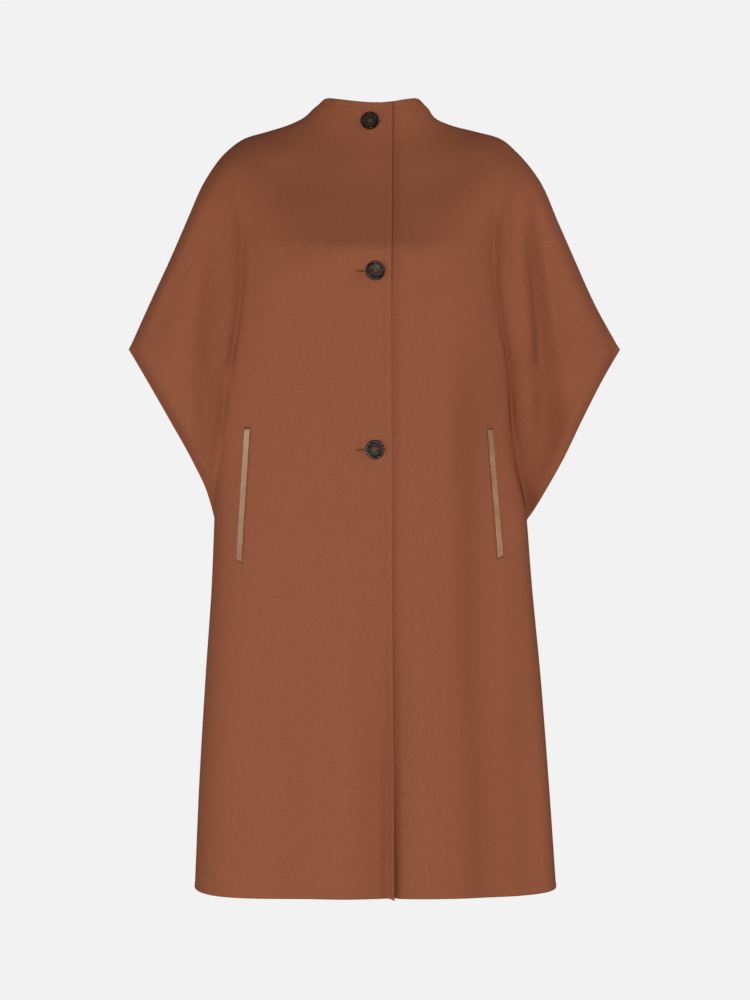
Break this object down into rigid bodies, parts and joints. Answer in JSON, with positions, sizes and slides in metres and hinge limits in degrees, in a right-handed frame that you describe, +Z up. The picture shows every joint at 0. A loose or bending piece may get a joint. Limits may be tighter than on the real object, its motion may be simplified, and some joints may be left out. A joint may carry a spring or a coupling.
{
  "type": "poncho coat",
  "caption": "Knee-length wool poncho coat with a funnel collar, wide sleeves cut in one with the body, a buttoned lapping front and slanted welt pockets.",
  "frame": {"origin": "on the shoulder line, at the centre of the shoulders, where the wearer holds it up", "axes": "+Z up to the collar, -Y towards the buttoned front, +X towards the wearer's left sleeve"},
  "size_m": [0.6745, 0.3296, 1.0852],
  "materials": {
    "wool": "reddish brown double-faced wool, brushed and felted, matt with a soft short nap",
    "leather": "tan smooth leather with a soft sheen",
    "horn": "very dark brown horn, polished, with faint lighter streaks"
  },
  "bodies": {
    "root": {"front_right": "wool", "front_left": "wool", "back": "wool", "welt_right": "leather", "welt_left": "leather", "button_top": "horn", "button_middle": "horn", "button_bottom": "horn"}
  },
  "joints": []
}
